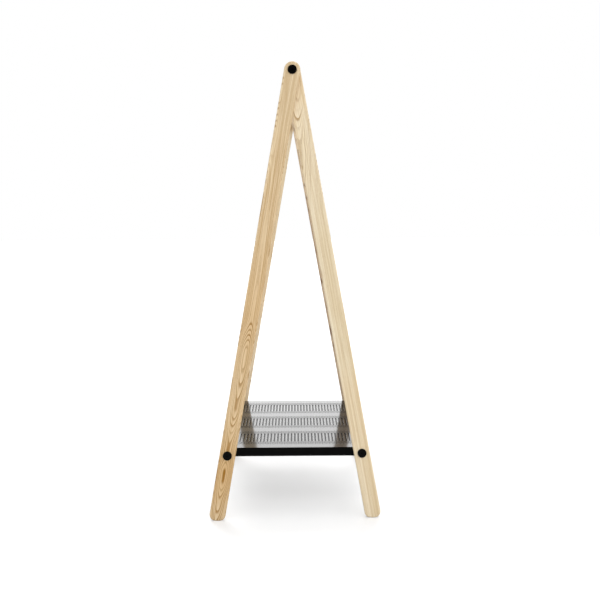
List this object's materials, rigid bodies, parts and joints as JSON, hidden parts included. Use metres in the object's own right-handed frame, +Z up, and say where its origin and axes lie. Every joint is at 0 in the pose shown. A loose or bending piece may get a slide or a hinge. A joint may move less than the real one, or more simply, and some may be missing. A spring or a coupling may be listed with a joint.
{
  "type": "clothes rack",
  "caption": "Free-standing A-frame clothes rack: round-ended ash planks bolted at the head to a black hanging rod and near the floor to a slotted black steel shelf.",
  "frame": {"origin": "on the floor under the middle of the rack", "axes": "+Z up, +Y along the hanging rod, +X across the A-frames; the outer planks lean to -X and the inner planks to +X"},
  "size_m": [0.6018, 0.682, 1.6],
  "materials": {
    "ash_wood": "clear matt lacquer on straight-grained ash",
    "black_coat": "glossy black powder coat",
    "black_rod": "satin black powder coat",
    "black_bolt": "satin black",
    "weld_nut_steel": "zinc plate",
    "washer_nylon": "black nylon"
  },
  "bodies": {
    "root": {"outer_leg_near": "ash_wood", "outer_leg_far": "ash_wood", "inner_leg_near": "ash_wood", "inner_leg_far": "ash_wood", "shelf_panel": "black_coat", "shelf_end_lip_near": "black_coat", "shelf_end_lip_far": "black_coat", "shelf_side_lip_left": "black_coat", "shelf_side_lip_right": "black_coat", "hanging_rod": "black_rod", "rod_plug_near": "black_rod", "rod_plug_far": "black_rod", "head_bolt_near": "black_bolt", "head_bolt_far": "black_bolt", "shelf_bolt_left_near": "black_bolt", "shelf_bolt_left_far": "black_bolt", "shelf_bolt_right_near": "black_bolt", "shelf_bolt_right_far": "black_bolt", "leg_sleeve_near": "black_bolt", "leg_sleeve_far": "black_bolt", "shelf_nut_left_near": "weld_nut_steel", "shelf_nut_left_far": "weld_nut_steel", "shelf_nut_right_near": "weld_nut_steel", "shelf_nut_right_far": "weld_nut_steel", "leg_washer_near": "washer_nylon", "leg_washer_far": "washer_nylon", "rod_washer_near": "washer_nylon", "rod_washer_far": "washer_nylon"}
  },
  "joints": []
}
